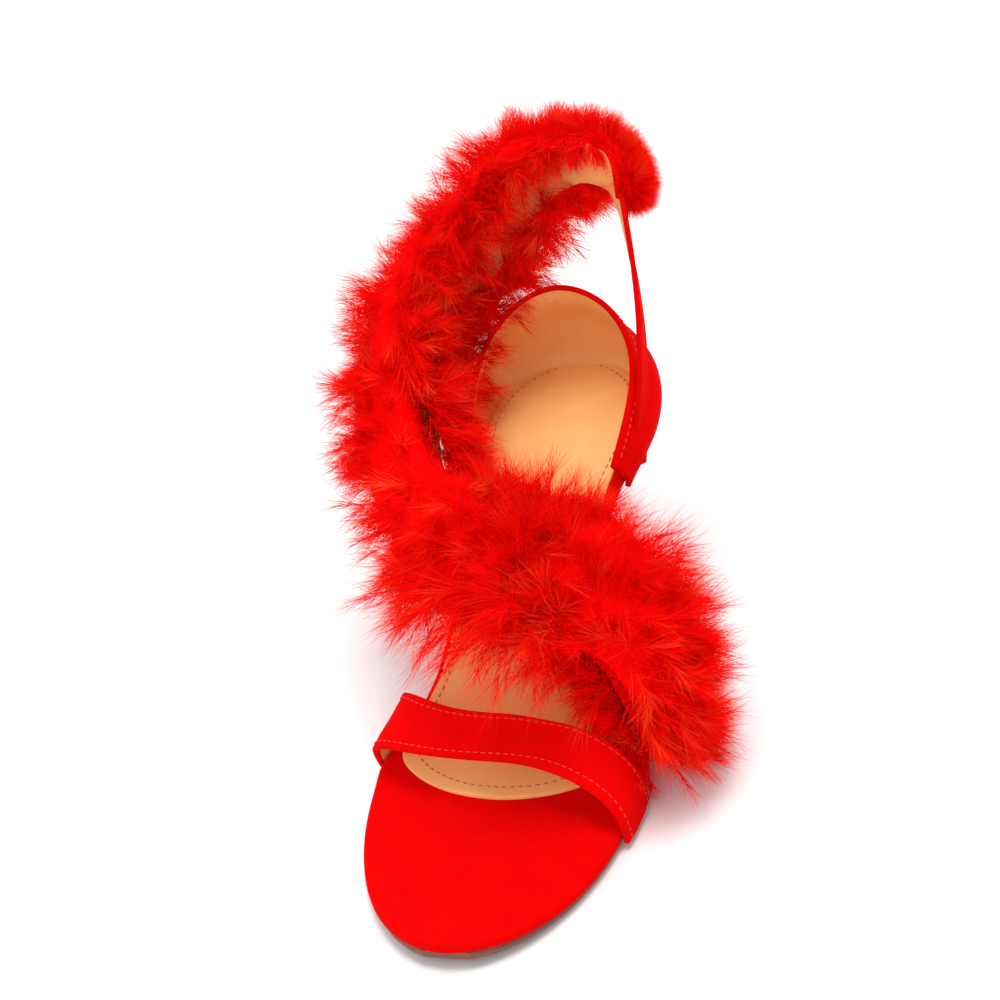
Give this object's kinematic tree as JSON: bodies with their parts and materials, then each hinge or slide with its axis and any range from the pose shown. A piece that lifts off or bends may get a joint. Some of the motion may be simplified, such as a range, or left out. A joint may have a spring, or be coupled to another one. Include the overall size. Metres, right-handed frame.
{
  "type": "marabou slipper",
  "caption": "Open-toe high-heeled sandal with a toe strap, a heel counter and a feather-trimmed band that winds over the instep and round the ankle.",
  "frame": {"origin": "middle of the base of the shoe's box, on the floor", "axes": "toe towards -Y, heel towards +Y, medial side towards +X, up +Z"},
  "size_m": [0.1416, 0.2342, 0.163],
  "materials": {
    "red_suede": "napped suede",
    "tan_leather": "smooth lining leather",
    "brown_leather": "smooth",
    "dark_rubber": "matt",
    "red_feather": "down"
  },
  "bodies": {
    "root": {"outsole": "brown_leather", "insole": "red_suede", "sock": "tan_leather", "heel": "red_suede", "heel_tip": "dark_rubber", "upper": "red_suede", "toe_strap": "red_suede", "marabou": "red_feather"}
  },
  "joints": []
}
